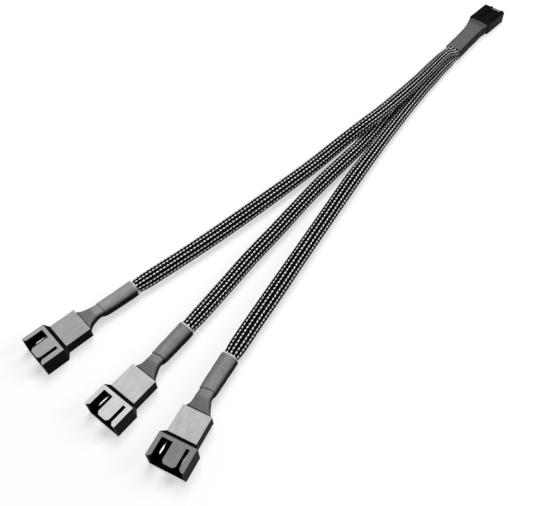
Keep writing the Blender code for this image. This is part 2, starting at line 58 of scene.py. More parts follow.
def makeCamera():
    # The view runs along the heading, tipped down; right and top are at right angles to it, and
    # both are rolled round it. The camera's own axes are right, top and the view reversed.
    heading, down, roll = (math.radians(viewpoint[key]) for key in ("heading", "down", "roll"))
    ahead = Vector((
        math.cos(heading) * math.cos(down),
        math.sin(heading) * math.cos(down),
        -math.sin(down),
    ))
    level = Vector((math.sin(heading), -math.cos(heading), 0.0))
    upright = level.cross(ahead)
    right = level * math.cos(roll) + upright * math.sin(roll)
    top = upright * math.cos(roll) - level * math.sin(roll)
    data = bpy.data.cameras.new("camera")
    data.lens = viewpoint["lens"]
    data.sensor_fit = "HORIZONTAL"
    data.sensor_width = viewpoint["sensor"]
    data.clip_start = viewpoint["nearest"]
    camera = bpy.data.objects.new("camera", data)
    bpy.context.scene.collection.objects.link(camera)
    turn = Matrix((right, top, -ahead)).transposed().to_4x4()
    camera.matrix_world = Matrix.Translation(viewpoint["place"]) @ turn
    bpy.context.scene.camera = camera


makeCamera()
print("camera placed")


# Finishes

class Value:
    # One output socket: arithmetic on it adds the Math nodes.
    def __init__(self, finish, socket):
        self.finish = finish
        self.socket = socket

    def math(self, operation, *others):
        return self.finish.node("ShaderNodeMath", {"operation": operation}, {
            place: other for place, other in enumerate((self, *others))
        })[0]

    def __add__(self, other):
        return self.math("ADD", other)

    def __sub__(self, other):
        return self.math("SUBTRACT", other)

    def __mul__(self, other):
        return self.math("MULTIPLY", other)

    def __truediv__(self, other):
        return self.math("DIVIDE", other)

    def __pow__(self, other):
        return self.math("POWER", other)

    def __radd__(self, other):
        return self.math("ADD", other)

    def __rsub__(self, other):
        return (self * -1.0) + other

    def clamped(self):
        # Kept between 0 and 1
        return self.math("MINIMUM", 1.0).math("MAXIMUM", 0.0)


class Outputs:
    # A node's outputs, read by name or place as values.
    def __init__(self, finish, node):
        self.finish = finish
        self.made = node

    def __getitem__(self, key):
        return Value(self.finish, self.made.outputs[key])


class Finish:
    # A material with one Principled shader, whose nodes are added by one method.
    def __init__(self, name):
        self.material = bpy.data.materials.new(name)
        self.material.use_nodes = True
        self.tree = self.material.node_tree
        self.shader = self.tree.nodes["Principled BSDF"]

    def node(self, kind, settings=None, inputs=None):
        made = self.tree.nodes.new(kind)
        for key, value in (settings or {}).items():
            setattr(made, key, value)
        for key, value in (inputs or {}).items():
            self.feed(made.inputs[key], value)
        return Outputs(self, made)

    def feed(self, socket, value):
        if isinstance(value, Value):
            self.tree.links.new(value.socket, socket)
        else:
            socket.default_value = value

    def set(self, **inputs):
        # The shader's inputs by name, each a constant or a value
        for key, value in inputs.items():
            self.feed(self.shader.inputs[key.replace("_", " ")], value)

    def objectSpace(self, scale=(1.0, 1.0, 1.0), turn=0.0, place=(0.0, 0.0, 0.0)):
        # Object coordinates from a place, turned back about Z and multiplied by the scale
        coordinates = self.node("ShaderNodeTexCoord")["Object"]
        return self.node("ShaderNodeMapping", {"vector_type": "TEXTURE"}, {
            "Vector": coordinates,
            "Location": place,
            "Rotation": (0.0, 0.0, turn),
            "Scale": tuple(1.0 / number for number in scale),
        })[0]

    def noise(self, vector, scale, detail=3.0, roughness=0.5):
        return self.node("ShaderNodeTexNoise", {"noise_dimensions": "3D"}, {
            "Vector": vector, "Scale": scale, "Detail": detail, "Roughness": roughness,
        })["Fac"]

    def mark(self, name):
        # What the mesh attribute of that name holds
        return self.node("ShaderNodeAttribute", {"attribute_name": name})["Fac"]

    def mixColour(self, factor, first, second):
        # Inputs 6 and 7 and output 2 are the node's colours.
        made = self.node("ShaderNodeMix", {"data_type": "RGBA"}, {0: factor, 6: first, 7: second})
        return made[2]

    def bump(self, height, strength, distance, below=None):
        inputs = {"Height": height, "Strength": strength, "Distance": distance}
        if below is not None:
            inputs["Normal"] = below
        return self.node("ShaderNodeBump", None, inputs)["Normal"]


def grey(level):
    return (level, level, level, 1.0)


plastic = {
    # Greys of the body, and of the painted sheen on its upper faces, each at its darkest and lightest
    "dark": 0.001,
    "light": 0.003,
    "topDark": 0.48,
    "topLight": 0.73,
    "contrast": 2.2,
    # Patterns: how many to a metre, how few of them along the piece, and the shade's streak share
    "streak": 2600.0,
    "streakThinning": 0.09,
    "streakShare": 0.7,
    "cloud": 260.0,
    "grain": 9000.0,
    # Surface: roughness and what each pattern adds, and bumps as strength and depth
    "roughness": 0.40,
    "streakRough": 0.20,
    "cloudRough": 0.06,
    "specular": 0.015,
    "grainBump": (0.25, 0.00002),
    "streakBump": (0.18, 0.00003),
}


def makePlastic(name, turn, top=1.0, specular=plastic["specular"], highlightStrip=None):
    # Moulded glass-filled nylon: near black, with a fine grain. The shade is a mix of streaks along
    # the piece and a broad cloud. It runs between two near blacks, and on the upper faces, by their
    # attribute and with more contrast, between two pale greys: a painted sheen, the glare of the light
    # on the tops.
    look = plastic
    finish = Finish(name)
    along = finish.objectSpace(scale=(look["streakThinning"], 1.0, 1.0), turn=turn)
    streak = finish.noise(along, look["streak"], detail=4.0, roughness=0.6)
    plain = finish.objectSpace()
    grain = finish.noise(plain, look["grain"], detail=2.0)
    cloud = finish.noise(plain, look["cloud"], detail=2.0)
    share = look["streakShare"]
    shade = (streak * share + cloud * (1 - share)).clamped()
    body = finish.mixColour(shade, grey(look["dark"]), grey(look["light"]))
    pale = ((shade - 0.5) * look["contrast"] + 0.5).clamped()
    # Painted sheen on the upper faces, scaled by top and laid where the faces are marked
    upper = finish.mixColour(pale, grey(look["topDark"] * top), grey(look["topLight"] * top))
    facing = finish.mark("upper")
    colour = finish.mixColour(facing, body, upper)
    # A pale strip painted on the upper faces as a highlight
    if highlightStrip:
        inside = insideHighlightStrip(finish, turn, highlightStrip)
        colour = finish.mixColour(inside * facing, colour, grey(highlightStrip["level"]))
    rough = (
        look["roughness"]
        + (streak - 0.5) * look["streakRough"]
        + (cloud - 0.5) * look["cloudRough"]
    )
    fine = finish.bump(grain, *look["grainBump"])
    lines = finish.bump(streak, *look["streakBump"], fine)
    finish.set(Base_Color=colour, Roughness=rough.clamped(), Normal=lines)
    finish.set(Specular_IOR_Level=specular)
    return finish.material


def insideHighlightStrip(finish, turn, highlightStrip):
    # 1 within the rectangle of the painted highlight behind the mating face and 0 outside it: its
    # half size less the distance from its middle, each way, times the crispness.
    local = finish.objectSpace(turn=turn, place=(*highlightStrip["face"], 0.0))
    parts = finish.node("ShaderNodeSeparateXYZ", None, {"Vector": local})
    back = (parts["X"] + highlightStrip["back"]).math("ABSOLUTE")
    aside = (parts["Y"] - highlightStrip["across"]).math("ABSOLUTE")
    inDepth = ((highlightStrip["halfDepth"] - back) * highlightStrip["crispness"]).clamped()
    return inDepth * ((highlightStrip["halfWidth"] - aside) * highlightStrip["crispness"]).clamped()


shrinkFinish = {
    # Greys: the top's painted light at its darkest and lightest, the black skin below it, the flare's
    # painted shade, where wires show through the taut tube, and how much of it, and the painted
    # highlight on the cut rim
    "dark": 0.125,
    "light": 0.235,
    "under": 0.004,
    "through": 0.01,
    "tautShade": 0.50,
    "cutRimHighlight": 0.93,
    # Patterns: how many to a metre, and how few wrinkles of them along the piece
    "wrinkle": 700.0,
    "wrinkleThinning": 0.25,
    "peel": 4200.0,
    "dust": 900.0,
    # The painted highlight on the cut rim shows where this noise is past a level, and grows clear at a
    # rate
    "ragged": 700.0,
    "raggedFrom": 0.36,
    "raggedRate": 4.0,
    # Surface: the gloss of a shrink whose painted light is at level 1, and the share of it that a black
    # one keeps
    "roughness": 0.50,
    "dustRough": 0.20,
    "wrinkleRough": 0.08,
    "specular": 0.03,
    "gloss": 0.44,
    "blackGloss": 0.4,
    "peelBump": (0.25, 0.00003),
    "wrinkleBump": (0.30, 0.00010),
}


def makeShrinkFinish(name, turn, cutRimHighlight, paleness):
    # Shrunk polyolefin: satin, with shallow lengthwise wrinkles and an orange-peel skin, and
    # darker on the flare near the housing: painted shade of its down-facing slope, with the wires
    # showing through where the tube is taut. The top is painted paler, as painted light, with a gloss
    # that the coat weight gives by the same share. The cut rim carries a broken painted highlight.
    look = shrinkFinish
    finish = Finish(name)
    along = finish.objectSpace(scale=(look["wrinkleThinning"], 1.0, 1.0), turn=turn)
    wrinkle = finish.noise(along, look["wrinkle"], roughness=0.55)
    plain = finish.objectSpace()
    peel = finish.noise(plain, look["peel"], detail=2.0)
    dust = finish.noise(plain, look["dust"], detail=4.0, roughness=0.65)
    # The skin's greys are the top's painted light, at the shrink's level of it.
    skin = finish.mixColour(dust, grey(look["dark"] * paleness), grey(look["light"] * paleness))
    # Painted shade on the flare near the housing, where the tube is also taut over the wires
    skin = finish.mixColour(finish.mark("tautShade") * look["tautShade"], skin, grey(look["through"]))
    paintedTop = finish.mark("paintedTop")
    # The painted light lies on the top only; below it the skin is black.
    skin = finish.mixColour(paintedTop, grey(look["under"]), skin)
    ragged = finish.noise(plain, look["ragged"], detail=2.0)
    rimHighlightShare = ((ragged - look["raggedFrom"]) * look["raggedRate"]).clamped()
    # A broken painted highlight along the cut rim
    colour = finish.mixColour(finish.mark("cutRimHighlight") * rimHighlightShare, skin, grey(cutRimHighlight))
    rough = (
        look["roughness"]
        + (dust - 0.5) * look["dustRough"]
        + (wrinkle - 0.5) * look["wrinkleRough"]
    )
    fine = finish.bump(peel, *look["peelBump"])
    folds = finish.bump(wrinkle, *look["wrinkleBump"], fine)
    least = look["blackGloss"]
    gloss = look["gloss"] * (least + (1 - least) * paleness)
    finish.set(Base_Color=colour, Roughness=rough.clamped(), Normal=folds)
    finish.set(Coat_Weight=paintedTop * gloss, Coat_Roughness=look["roughness"])
    finish.set(Specular_IOR_Level=look["specular"])
    return finish.material


braidFinish = {
    "dark": 0.0012,
    "light": 0.003,
    # The grey of the painted glint on each pass's crown
    "crown": 0.93,
    "wear": 1400.0,
    "ridgeShare": 0.6,
    "roughness": 0.36,
    "wearRough": 0.15,
    "specular": 0.02,
    "filaments": 4.0,
    "ridgeBump": (0.25, 0.00002),
    # The braid is loose up to this x, and stretched at this length past it
    "looseTo": 0.015,
    "stretchRun": 0.045,
    # The painted glint's oval on a crown, loose and stretched: half sizes in crossings, and how far
    # a crossing and a strand's width carry a point aside and ahead on the sleeve
    "ovalLength": (0.78, 1.73),
    "ovalWidth": (0.25, 0.19),
    "passAside": (0.8, 0.58),
    "offsetAside": (0.7, 0.82),
    "passAhead": (0.8, 0.9),
    "offsetAhead": (0.7, 0.53),
    "paleness": (1.0, 0.55),
    # How pale the painted glint on a crown is by itself, and what the ridges and the patches of the
    # wear noise add
    "plainWear": 0.7,
    "ridgeWear": 0.3,
    "patchWear": 0.8,
}


def makeBraidFinish(name):
    # Flat bundles of round monofilament: ridges run along each strand, by its own UV map, whose
    # second value counts crossings. The crown of each pass has a painted glint, a pale oval that
    # lies along the sleeve, and the ovals run together where the braid is stretched near the plug.
    look = braidFinish
    finish = Finish(name)
    coordinates = finish.node("ShaderNodeUVMap", {"uv_map": "strand"})["UV"]
    parts = finish.node("ShaderNodeSeparateXYZ", None, {"Vector": coordinates})
    across = parts["X"]
    ridge = (across * (look["filaments"] * math.pi)).math("SINE").math("ABSOLUTE")
    plain = finish.objectSpace()
    wear = finish.noise(plain, look["wear"], roughness=0.6)
    place = finish.node("ShaderNodeSeparateXYZ", None, {"Vector": plain})["X"]
    stretch = ((place - look["looseTo"]) / look["stretchRun"]).clamped()

    def between(key):
        # From the loose braid's value to the stretched one's
        loose, stretched = look[key]
        return stretch * (stretched - loose) + loose

    # A strand passes over two crossings and under two, so it is on top from -1 to 1 of -2 to 2.
    passed = ((parts["Y"] * 0.25 + 0.5).math("FRACT") - 0.5) * 4.0
    offset = across - 0.5
    aside = passed * between("passAside") + offset * between("offsetAside")
    ahead = passed * between("passAhead") - offset * between("offsetAhead")
    fromMiddle = (aside / between("ovalWidth")) ** 2.0 + (ahead / between("ovalLength")) ** 2.0
    # The painted glint: a pale oval on the crown of each pass, varied by the ridges and the wear noise
    crown = (1.0 - fromMiddle).clamped()
    glintStrength = ridge * look["ridgeWear"] + wear * look["patchWear"] + look["plainWear"]
    glintShare = (crown * glintStrength * between("paleness")).clamped()
    share = look["ridgeShare"]
    shade = (ridge * share + wear * (1 - share)).clamped()
    deep = finish.mixColour(shade, grey(look["dark"]), grey(look["light"]))
    # The painted glint laid over the near black strands
    colour = finish.mixColour(glintShare, deep, grey(look["crown"]))
    rough = look["roughness"] + (wear - 0.5) * look["wearRough"]
    finish.set(Base_Color=colour, Roughness=rough.clamped())
    finish.set(Normal=finish.bump(ridge, *look["ridgeBump"]))
    finish.set(Specular_IOR_Level=look["specular"])
    return finish.material


linerFinish = {
    "dark": 0.002,
    "light": 0.006,
    "fluff": 3000.0,
    "roughness": 0.7,
    "fluffRough": 0.2,
    "specular": 0.1,
}


def makeLinerFinish(name):
    # The shadowed inside of the braid, seen only between the strands: two near blacks, mixed by a
    # fine fluff that also makes it rougher.
    finish = Finish(name)
    fluff = finish.noise(finish.objectSpace(), linerFinish["fluff"], detail=2.0, roughness=0.6)
    dark, light = grey(linerFinish["dark"]), grey(linerFinish["light"])
    rough = fluff * linerFinish["fluffRough"] + linerFinish["roughness"]
    finish.set(Base_Color=finish.mixColour(fluff, dark, light), Roughness=rough.clamped())
    finish.set(Specular_IOR_Level=linerFinish["specular"])
    return finish.material


jacketFinish = {
    "dark": 0.012,
    "light": 0.022,
    "cloud": 1200.0,
    "roughness": 0.35,
    "cloudRough": 0.2,
    "cloudBump": (0.2, 0.00003),
}


def makeJacketFinish(name):
    # Soft black insulation: two near blacks mixed by a cloud, which also roughens and dents it.
    finish = Finish(name)
    cloud = finish.noise(finish.objectSpace(), jacketFinish["cloud"])
    dark, light = grey(jacketFinish["dark"]), grey(jacketFinish["light"])
    rough = cloud * jacketFinish["cloudRough"] + jacketFinish["roughness"]
    finish.set(Base_Color=finish.mixColour(cloud, dark, light), Roughness=rough.clamped())
    finish.set(Normal=finish.bump(cloud, *jacketFinish["cloudBump"]))
    return finish.material


tinFinish = {
    "pale": (0.80, 0.80, 0.79, 1.0),
    "warm": (0.66, 0.65, 0.62, 1.0),
    "warmShare": 0.6,
    "cloud": 900.0,
    "drawn": 6000.0,
    "drawnThinning": 0.1,
    "roughness": 0.42,
    "drawnRough": 0.06,
    "drawnBump": (0.02, 0.00001),
}


def makeTinFinish(name):
    # Tinned brass: bright, with a faint warm cloud, and drawing marks along X that roughen it.
    finish = Finish(name)
    along = finish.objectSpace(scale=(tinFinish["drawnThinning"], 1.0, 1.0))
    drawn = finish.noise(along, tinFinish["drawn"], roughness=0.6)
    cloud = finish.noise(finish.objectSpace(), tinFinish["cloud"], detail=2.0)
    warmth = cloud * tinFinish["warmShare"]
    rough = drawn * tinFinish["drawnRough"] + tinFinish["roughness"]
    finish.set(Base_Color=finish.mixColour(warmth, tinFinish["pale"], tinFinish["warm"]))
    finish.set(Metallic=1.0, Roughness=rough.clamped())
    finish.set(Normal=finish.bump(drawn, *tinFinish["drawnBump"]))
    return finish.material


braidMaterial = makeBraidFinish("braided_monofilament")
linerMaterial = makeLinerFinish("braid_inside")
jacketMaterial = makeJacketFinish("wire_jacket")
tinMaterial = makeTinFinish("tinned_brass")
print("finishes made")


# Meshes from arrays

def makeMesh(name, points, faces, uv=None, smooth=True):
    # faces is an array of quads; uv gives one pair for each corner of each face.
    mesh = bpy.data.meshes.new(name)
    mesh.vertices.add(len(points))
    mesh.vertices.foreach_set("co", np.asarray(points, np.float32).ravel())
    mesh.loops.add(faces.size)
    mesh.loops.foreach_set("vertex_index", np.asarray(faces, np.int32).ravel())
    mesh.polygons.add(len(faces))
    mesh.polygons.foreach_set("loop_start", np.arange(0, faces.size, 4, dtype=np.int32))
    mesh.polygons.foreach_set("use_smooth", np.full(len(faces), smooth))
    mesh.update(calc_edges=True)
    if uv is not None:
        layer = mesh.uv_layers.new(name="strand")
        layer.data.foreach_set("uv", np.asarray(uv, np.float32).ravel())
    mesh.validate()
    return mesh


def gridFaces(rows, columns, closedRows=False):
    # Quads of a grid whose points run column by column in each row. Each joins a point to the
    # next ones; a row always ends at its own start, and the last row may join the first.
    row = np.arange(rows if closedRows else rows - 1)
    row, column = np.meshgrid(row, np.arange(columns), indexing="ij")
    nextRow = (row + 1) % rows
    nextColumn = (column + 1) % columns
    quads = np.stack([
        row * columns + column,
        nextRow * columns + column,
        nextRow * columns + nextColumn,
        row * columns + nextColumn,
    ], axis=-1)
    return quads.reshape(-1, 4)


def markMesh(mesh, name, domain, values):
    # One number for each point or face, which a finish reads by name
    marks = mesh.attributes.new(name, "FLOAT", domain)
    marks.data.foreach_set("value", np.asarray(values, np.float32))


def addPiece(name, mesh, materials):
    # An object at the origin that rides on the root, with the given finishes in its mesh's slots
    piece = bpy.data.objects.new(name, mesh)
    bpy.context.scene.collection.objects.link(piece)
    for material in materials:
        mesh.materials.append(material)
    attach(piece, "root")
    return piece


# Routes

socket = {
    "length": 0.01885,
    "gap": 0.0003,
    "pinHeight": 0.0038,
    "barrelRear": 0.0156,
    "tipRadius": 0.0022,
}

plug = {
    "face": (0.1278, -0.0006),
    "turn": math.radians(-5.0),
    "length": 0.0128,
    "shrink": 0.0251,
    # The bundle in the shrink: its middle, how far two legs lie to the sides and one above them,
    # where it is gathered behind the housing, how long it then stays so, and each leg's radius
    "bundleY": -0.0002,
    "bundleSpread": 0.00175,
    "bundleRise": 0.00245,
    "bundleLow": 0.0019,
    "gathered": 0.0070,
    "gatheredRun": 0.0080,
    "neck": 0.0014,
}

# The leg's shrink: distance behind the housing, width, height, corner, height of its middle. Its
# flare ends at the first of these rows, and the second is its mouth, on the sleeve.
flareRow, mouthRow = 3, 7
legShrinkSections = np.array((
    (0.0, 0.0086, 0.0036, 0.0012, 0.00375),
    (0.0012, 0.0069, 0.0036, 0.0013, 0.0038),
    (0.0024, 0.0060, 0.0035, 0.0014, 0.00385),
    (0.0040, 0.0052, 0.0035, 0.0015, 0.0039),
    (0.0056, 0.0049, 0.0037, 0.0017, 0.00375),
    (0.0078, 0.0055, 0.0054, 0.0026, 0.00325),
    (0.0120, 0.0058, 0.0058, 0.0029, 0.0030),
    (0.0206, 0.0060, 0.0060, 0.0030, 0.00305),
))

# The plug's shrink: distance behind the housing, width, height, corner
plugShrinkSections = np.array((
    (0.0, 0.0098, 0.0049, 0.0015),
    (0.0020, 0.0092, 0.0052, 0.0015),
    (0.0045, 0.0081, 0.0058, 0.0015),
    (0.0068, 0.0076, 0.0061, 0.0015),
    (0.0100, 0.0072, 0.00615, 0.0015),
    (0.0251, 0.0072, 0.00615, 0.0015),
))

# A leg's side in the bundle is 0 on top and 1 or -1 beside it. Its last stretch leans aside, its
# tube swells over the sections, and the crease is as deep as given. Its pale levels are painted
# light: the painted sheen on the upper faces of its socket's body and shroud, and the level of the
# painted light on its shrink's top. The braid's rows are turned round it in degrees, and the plug's
# shrink presses it to a half width and a half height. Its route runs from the plug to the socket:
# x, y, z and radius.
legs = {
    "a": {
        "mouth": (-0.1266, 0.0297),
        "turn": math.radians(171.2),
        "wires": (1, 2, 3, 4),
        "side": 0,
        "lean": 0.0002,
        "swell": 0.0,
        "pale": {"body": 0.53, "shroud": 0.55, "shrink": 1.35},
        "crease": 0.00014,
        "diameter": 0.0060,
        "rowTurn": 18.5,
        "pressedTo": (0.0033, 0.0017),
        "route": (
            (0.0838, 0.0002, 0.006, 0.00205),
            (0.0778, 0.0003, 0.0065, 0.0023),
            (0.0708, 0.00025, 0.00665, 0.00235),
            (0.0628, 0.00025, 0.00685, 0.00245),
            (0.0478, 0.0004, 0.00775, 0.0026),
            (0.0328, 0.0013, 0.0082, 0.00265),
            (0.0238, 0.0027, 0.00775, 0.0027),
            (0.0158, 0.005, 0.0056, 0.00275),
            (0.0078, 0.00715, 0.0035, 0.00285),
            (-0.0022, 0.0084, 0.003, 0.00293),
            (-0.0141, 0.00995, 0.00302, 0.00296),
            (-0.0283, 0.01205, 0.0031, 0.00304),
            (-0.0425, 0.0143, 0.00311, 0.00305),
            (-0.0557, 0.01665, 0.00306, 0.003),
            (-0.0693, 0.01945, 0.00298, 0.00292),
            (-0.0822, 0.0223, 0.00295, 0.00288),
            (-0.0870, 0.02335, 0.00305, 0.0025),
        ),
    },
    "b": {
        "mouth": (-0.1282, -0.0036),
        "turn": math.radians(179.5),
        "wires": (1, 2, 4),
        "side": 1,
        "lean": 0.0005,
        "swell": 0.0001,
        "pale": {"body": 0.81, "shroud": 0.95, "shrink": 1.0},
        "crease": 0.00024,
        "diameter": 0.0058,
        "rowTurn": 10.5,
        "pressedTo": (0.0018, 0.0015),
        "route": (
            (0.0838, 0.0023, 0.00215, 0.00205),
            (0.0778, 0.0028, 0.00235, 0.00225),
            (0.0708, 0.00276, 0.00242, 0.00235),
            (0.0628, 0.00273, 0.0025, 0.00245),
            (0.0478, 0.0022, 0.00265, 0.0026),
            (0.0328, 0.00095, 0.00272, 0.00265),
            (0.0238, 0.0002, 0.00277, 0.0027),
            (0.0158, -5e-05, 0.00282, 0.00275),
            (0.0078, 0.0001, 0.00292, 0.00285),
            (-0.0066, 0.00045, 0.003, 0.00294),
            (-0.0195, 0.0004, 0.00295, 0.00288),
            (-0.0372, -0.00025, 0.003, 0.00294),
            (-0.0541, -0.00065, 0.00302, 0.00296),
            (-0.0694, -0.0015, 0.00296, 0.0029),
            (-0.0830, -0.0021, 0.00288, 0.0028),
            (-0.0882, -0.00235, 0.0031, 0.00255),
        ),
    },
    "c": {
        "mouth": (-0.1270, -0.0297),
        "turn": math.radians(191.7),
        "wires": (1, 2, 4),
        "side": -1,
        "lean": 0.0008,
        "swell": 0.0004,
        "pale": {"body": 0.72, "shroud": 0.34, "shrink": 1.0},
        "crease": 0.00020,
        "diameter": 0.0063,
        "rowTurn": -3.5,
        "pressedTo": (0.0018, 0.0015),
        "route": (
            (0.0838, -0.00195, 0.00215, 0.00205),
            (0.0778, -0.00182, 0.00235, 0.00225),
            (0.0708, -0.00205, 0.00242, 0.00235),
            (0.0628, -0.00227, 0.0025, 0.00245),
            (0.0478, -0.00325, 0.00265, 0.0026),
            (0.0328, -0.0046, 0.00275, 0.0027),
            (0.0238, -0.0055, 0.00283, 0.00275),
            (0.0158, -0.0064, 0.00295, 0.00288),
            (0.0078, -0.0073, 0.00312, 0.00305),
            (-0.0004, -0.0083, 0.00327, 0.0032),
            (-0.0120, -0.0099, 0.00325, 0.00319),
            (-0.0284, -0.01225, 0.00322, 0.00316),
            (-0.0438, -0.01445, 0.00323, 0.00317),
            (-0.0582, -0.0166, 0.0033, 0.00324),
            (-0.0718, -0.0185, 0.00324, 0.00318),
            (-0.0830, -0.0202, 0.0032, 0.00312),
            (-0.0879, -0.021, 0.0032, 0.0027),
        ),
    },
}


def behindFace(face, turn, back):
    # The point in x and y at a distance behind a mating face that looks along the turn
    return face[0] - back * math.cos(turn), face[1] - back * math.sin(turn)


def socketPoint(leg, back):
    return behindFace(leg["mouth"], leg["turn"], back)


def plugPoint(back):
    return behindFace(plug["face"], plug["turn"], back)


shrinkEnd = plugPoint(plug["length"] + socket["gap"] + plug["shrink"])[0]


def ease(share):
    # 0 to 1 with level ends: three squares less two cubes
    share = np.clip(share, 0.0, 1.0)
    return share * share * (3 - 2 * share)


def bell(offset, width):
    # 1 in the middle, falling off as e to the minus square of the offset over the width
    return np.exp(-(offset / width)**2)


def smoothRead(rows, places):
    # A cubic between rows that start with their place; the slope in each row is the one between
    # its two neighbours, so the curve has no corner at a row.
    place, values = rows[:, 0], rows[:, 1:]
    before = np.maximum(np.arange(len(rows)) - 1, 0)
    after = np.minimum(np.arange(len(rows)) + 1, len(rows) - 1)
    slope = (values[after] - values[before]) / (place[after] - place[before])[:, None]
    index = np.clip(np.searchsorted(place, places, side="right") - 1, 0, len(rows) - 2)
    span = (place[index + 1] - place[index])[:, None]
    share = (np.asarray(places) - place[index])[:, None] / span
    return (
        (2 * share**3 - 3 * share**2 + 1) * values[index]
        + (share**3 - 2 * share**2 + share) * slope[index] * span
        + (3 * share**2 - 2 * share**3) * values[index + 1]
        + (share**3 - share**2) * slope[index + 1] * span
    )


def legShrinkX(leg, back):
    # The x of a place on the leg's shrink, which starts a gap behind the housing
    return socketPoint(leg, socket["length"] + socket["gap"] + back)[0]


def legRows(leg):
    # The centreline and radius of a leg by x: gathered in the plug's shrink, then along the route,
    # then under the socket's shrink, on the straight line from the route's end to the housing's
    # rear plus the leg's lean, which fades over the last half, and last into the pins' barrels.
    low = plug["bundleLow"] if leg["side"] else plug["bundleLow"] + plug["bundleRise"]
    bundle = (plug["bundleY"] + leg["side"] * plug["bundleSpread"], low)
    gathered = plugPoint(plug["length"])[0] - plug["gathered"]
    places = (gathered, gathered - plug["gatheredRun"], shrinkEnd)
    rows = [(place, *bundle, plug["neck"]) for place in places]
    rows.extend(leg["route"])
    last = leg["route"][-1]
    rear = socketPoint(leg, socket["length"])
    for back, _, _, _, middle in legShrinkSections[flareRow:mouthRow]:
        place = legShrinkX(leg, back)
        share = (place - rear[0]) / (last[0] - rear[0])
        aside = rear[1] + (last[1] - rear[1]) * share + leg["lean"] * min(2 - 2 * share, 1.0)
        rows.append((place, aside, middle + leg["swell"] / 2, socket["tipRadius"] + leg["swell"] / 2))
    for back in (socket["length"], socket["barrelRear"]):
        place, aside = socketPoint(leg, back)
        rows.append((place, aside, socket["pinHeight"], socket["tipRadius"]))
    return np.array(sorted(rows))


def routeFrames(rows, places, step=0.0002):
    # Centre, direction toward the socket, level normal toward +Y, upper normal and radius. The
    # direction is the difference between the places a step ahead and a step behind.
    read = smoothRead(rows, places)
    ahead = smoothRead(rows, places - step)
    behind = smoothRead(rows, places + step)
    along = np.stack([
        np.full(len(places), -2 * step), ahead[:, 0] - behind[:, 0], ahead[:, 1] - behind[:, 1],
    ], axis=1)
    along /= np.linalg.norm(along, axis=1)[:, None]
    sideways = np.cross(along, (0.0, 0.0, 1.0))
    sideways /= np.linalg.norm(sideways, axis=1)[:, None]
    upper = np.cross(sideways, along)
    centre = np.column_stack([places, read[:, :2]])
    return centre, along, sideways, upper, read[:, 2]


# Braided sleeves

braid = {
    "strands": 12,
    "width": 0.00098,
    "thickness": 0.00020,
    "wave": 0.00012,
    "flatness": 0.8,
    # Stations along a strand: to each crossing, and to the whole run from which they are read
    "samples": 4,
    "fineSamples": 6000,
    # The liner's depth below the crowns, and its rings and sides
    "liner": 0.00046,
    "linerRings": 160,
    "linerSides": 20,
    # How far the braid goes on inside each shrink
    "inPlugShrink": 0.0035,
    "inLegShrink": 0.004,
    # Length of one pass, over or under, by x: a braid that is stretched thin has longer ones
    "pitch": np.array((
        (-0.100, 0.00142), (-0.066, 0.00145), (-0.046, 0.00151), (-0.026, 0.00158),
        (-0.006, 0.00157), (0.014, 0.00158), (0.034, 0.00160), (0.054, 0.00176),
        (0.075, 0.00179), (0.095, 0.00180),
    )),
    # The sleeves are pressed into the shrink's shape over this length before its end
    "pressed": 0.0080,
}


def sleeveSection(leg, places, radius):
    # Half width and half height of a sleeve: round, but pressed flat where the shrink holds it.
    share = ease((places - (shrinkEnd - braid["pressed"])) / braid["pressed"])
    aside, rise = leg["pressedTo"]
    return radius + (aside - radius) * share, radius + (rise - radius) * share


def sleeveStations(leg, rows):
    # A strand turns once round the sleeve in as many pitches as there are strands, so its rate is
    # a full turn over count times pitch, and its winding is that rate summed along the run. The
    # stations are even steps of winding; each has its place in x and its rate.
    start = shrinkEnd + braid["inPlugShrink"]
    end = legShrinkX(leg, legShrinkSections[-1, 0] - braid["inLegShrink"])
    fine = np.linspace(start, end, braid["fineSamples"])
    centre = routeFrames(rows, fine)[0]
    run = np.concatenate([[0.0], np.cumsum(np.linalg.norm(np.diff(centre, axis=0), axis=1))])
    rate = 2 * math.pi / (braid["strands"] * np.interp(fine, *braid["pitch"].T))
    winding = np.concatenate([[0.0], np.cumsum((rate[1:] + rate[:-1]) / 2 * np.diff(run))])
    stations = np.arange(0.0, winding[-1], math.pi / braid["strands"] / braid["samples"])
    return stations, np.interp(stations, winding, fine), np.interp(stations, winding, rate)


